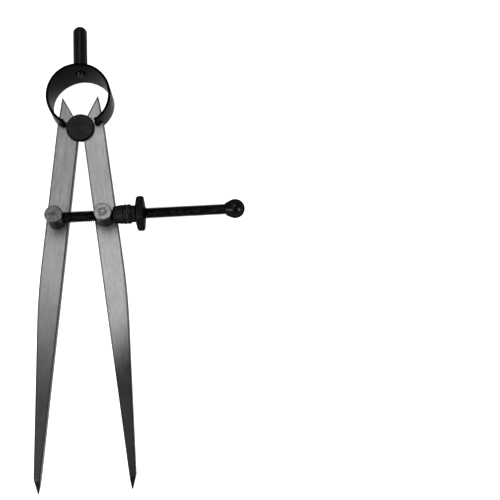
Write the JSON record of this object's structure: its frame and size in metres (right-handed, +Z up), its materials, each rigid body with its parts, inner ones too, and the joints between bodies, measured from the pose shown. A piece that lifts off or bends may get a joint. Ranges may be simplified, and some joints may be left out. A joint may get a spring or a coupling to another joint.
{
  "type": "spring dividers",
  "caption": "Spring dividers with flat pointed legs on a fulcrum, a bow spring with a stem handle, and a cross screw with a knurled quick-release nut.",
  "frame": {"origin": "middle of the tool's bounding box on the plane that the lower edge of the bow's crown rests on", "axes": "+Y along the tool from the points to the handle, +X along the screw to its ball end, +Z up out of the legs' faces toward the stud heads"},
  "size_m": [0.0878, 0.1992, 0.0224],
  "materials": {
    "black_oxide": "black oxide, satin",
    "ground_steel": "ground lengthwise, points darkened by hardening",
    "turned_steel": "turned",
    "spring_wire": "drawn wire, oiled"
  },
  "bodies": {
    "head": {"handle": "black_oxide", "bow_spring": "black_oxide", "fulcrum_stud": "black_oxide", "fulcrum_washer": "black_oxide"},
    "left_leg_body": {"left_leg": "ground_steel"},
    "right_leg_body": {"right_leg": "ground_steel"},
    "screw_body": {"left_stud": "turned_steel", "left_stud_washer": "turned_steel", "adjusting_screw": "black_oxide", "end_ball": "black_oxide"},
    "right_stud_body": {"right_stud": "turned_steel", "right_stud_washer": "turned_steel", "cup_washer": "black_oxide"},
    "nut_body": {"nut_upper_half": "black_oxide", "nut_lower_half": "black_oxide", "nut_ring": "spring_wire"}
  },
  "joints": [
    {"name": "left_leg_swing", "type": "hinge", "parent": "head", "child": "left_leg_body", "pos_m": [-0.02404, 0.05133, 0.009], "axis": [0, 0, -1], "range_deg": [-6.7, 23.3], "deforming": ["bow_spring"]},
    {"name": "right_leg_swing", "type": "hinge", "parent": "head", "child": "right_leg_body", "pos_m": [-0.02404, 0.05133, 0.009], "axis": [0, 0, -1], "range_deg": [-23.3, 6.7]},
    {"name": "screw_swivel", "type": "hinge", "parent": "left_leg_body", "child": "screw_body", "pos_m": [-0.03405, 0.0107, 0.009], "axis": [0, 0, -1], "range_deg": [-23.3, 6.7]},
    {"name": "right_stud_swivel", "type": "hinge", "parent": "right_leg_body", "child": "right_stud_body", "pos_m": [-0.01402, 0.0107, 0.009], "axis": [0, 0, -1], "range_deg": [-6.7, 23.3]},
    {"name": "nut_spin", "type": "hinge", "parent": "right_stud_body", "child": "nut_body", "pos_m": [-0.00232, 0.0107, 0.01505], "axis": [1, 0, 0], "continuous": true}
  ],
  "couplings": [
    {"joint": "right_leg_swing", "follows": "left_leg_swing", "ratio": -1},
    {"joint": "screw_swivel", "follows": "left_leg_swing", "ratio": -1},
    {"joint": "right_stud_swivel", "follows": "left_leg_swing", "ratio": 1}
  ]
}
